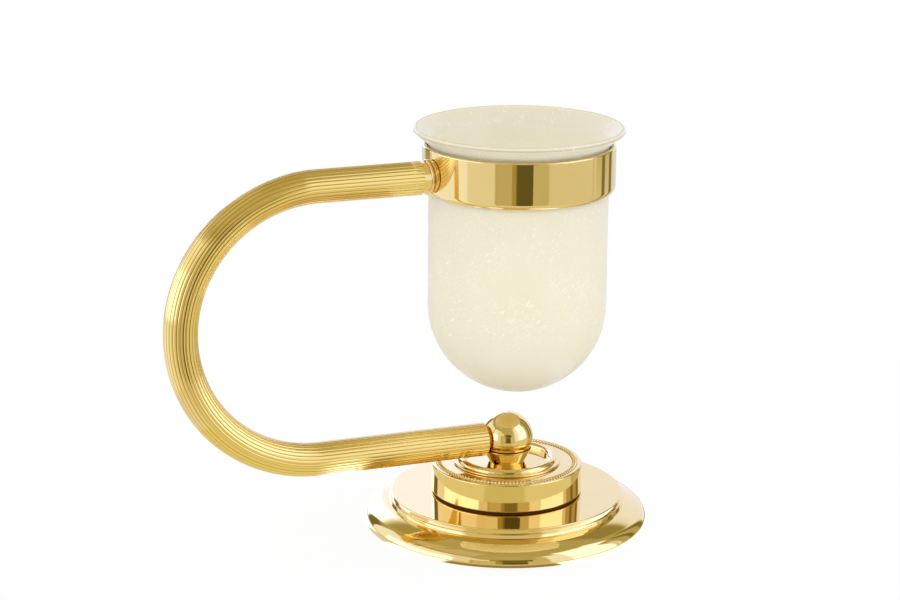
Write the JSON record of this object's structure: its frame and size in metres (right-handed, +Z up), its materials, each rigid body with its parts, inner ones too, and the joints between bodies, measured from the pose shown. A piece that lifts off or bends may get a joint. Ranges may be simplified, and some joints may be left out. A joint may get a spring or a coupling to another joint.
{
  "type": "free-standing tumbler and holder",
  "caption": "Polished brass stand that holds a frosted crackle-glass tumbler: the round-bottomed glass hangs by its flared lip in a ring on a reeded C-shaped arm.",
  "frame": {"origin": "centre of the underside of the foot pad, on the axis of the base", "axes": "+Z up along the axis of the base; the arm bows out towards -X; Y is square to the plane of the arm"},
  "size_m": [0.1903, 0.11, 0.1556],
  "materials": {
    "polished_brass": "polished and lacquered",
    "crackle_glass": "frosted, with a fine white crackle",
    "clear_silicone": "clear",
    "steel": "zinc plated",
    "cast_iron": "as cast",
    "pad": "matt"
  },
  "bodies": {
    "holder": {"foot_pad": "pad", "base_flange": "polished_brass", "ballast": "cast_iron", "step_plate": "polished_brass", "drum": "polished_brass", "bead_trim": "polished_brass", "dish_moulding": "polished_brass", "post": "polished_brass", "ball": "polished_brass", "tie_bolt": "steel", "flat_washer": "steel", "spring_washer": "steel", "arm": "polished_brass", "arm_plug": "polished_brass", "arm_stud": "steel", "ring_ferrule": "polished_brass", "ring_band": "polished_brass", "ring_screw": "steel", "clear_sleeve": "clear_silicone"},
    "tumbler": {"tumbler": "crackle_glass"}
  },
  "joints": [
    {"name": "tumbler_lift", "type": "slide", "parent": "holder", "child": "tumbler", "axis": [0, 0, 1], "range_m": [0, 0.11]}
  ]
}
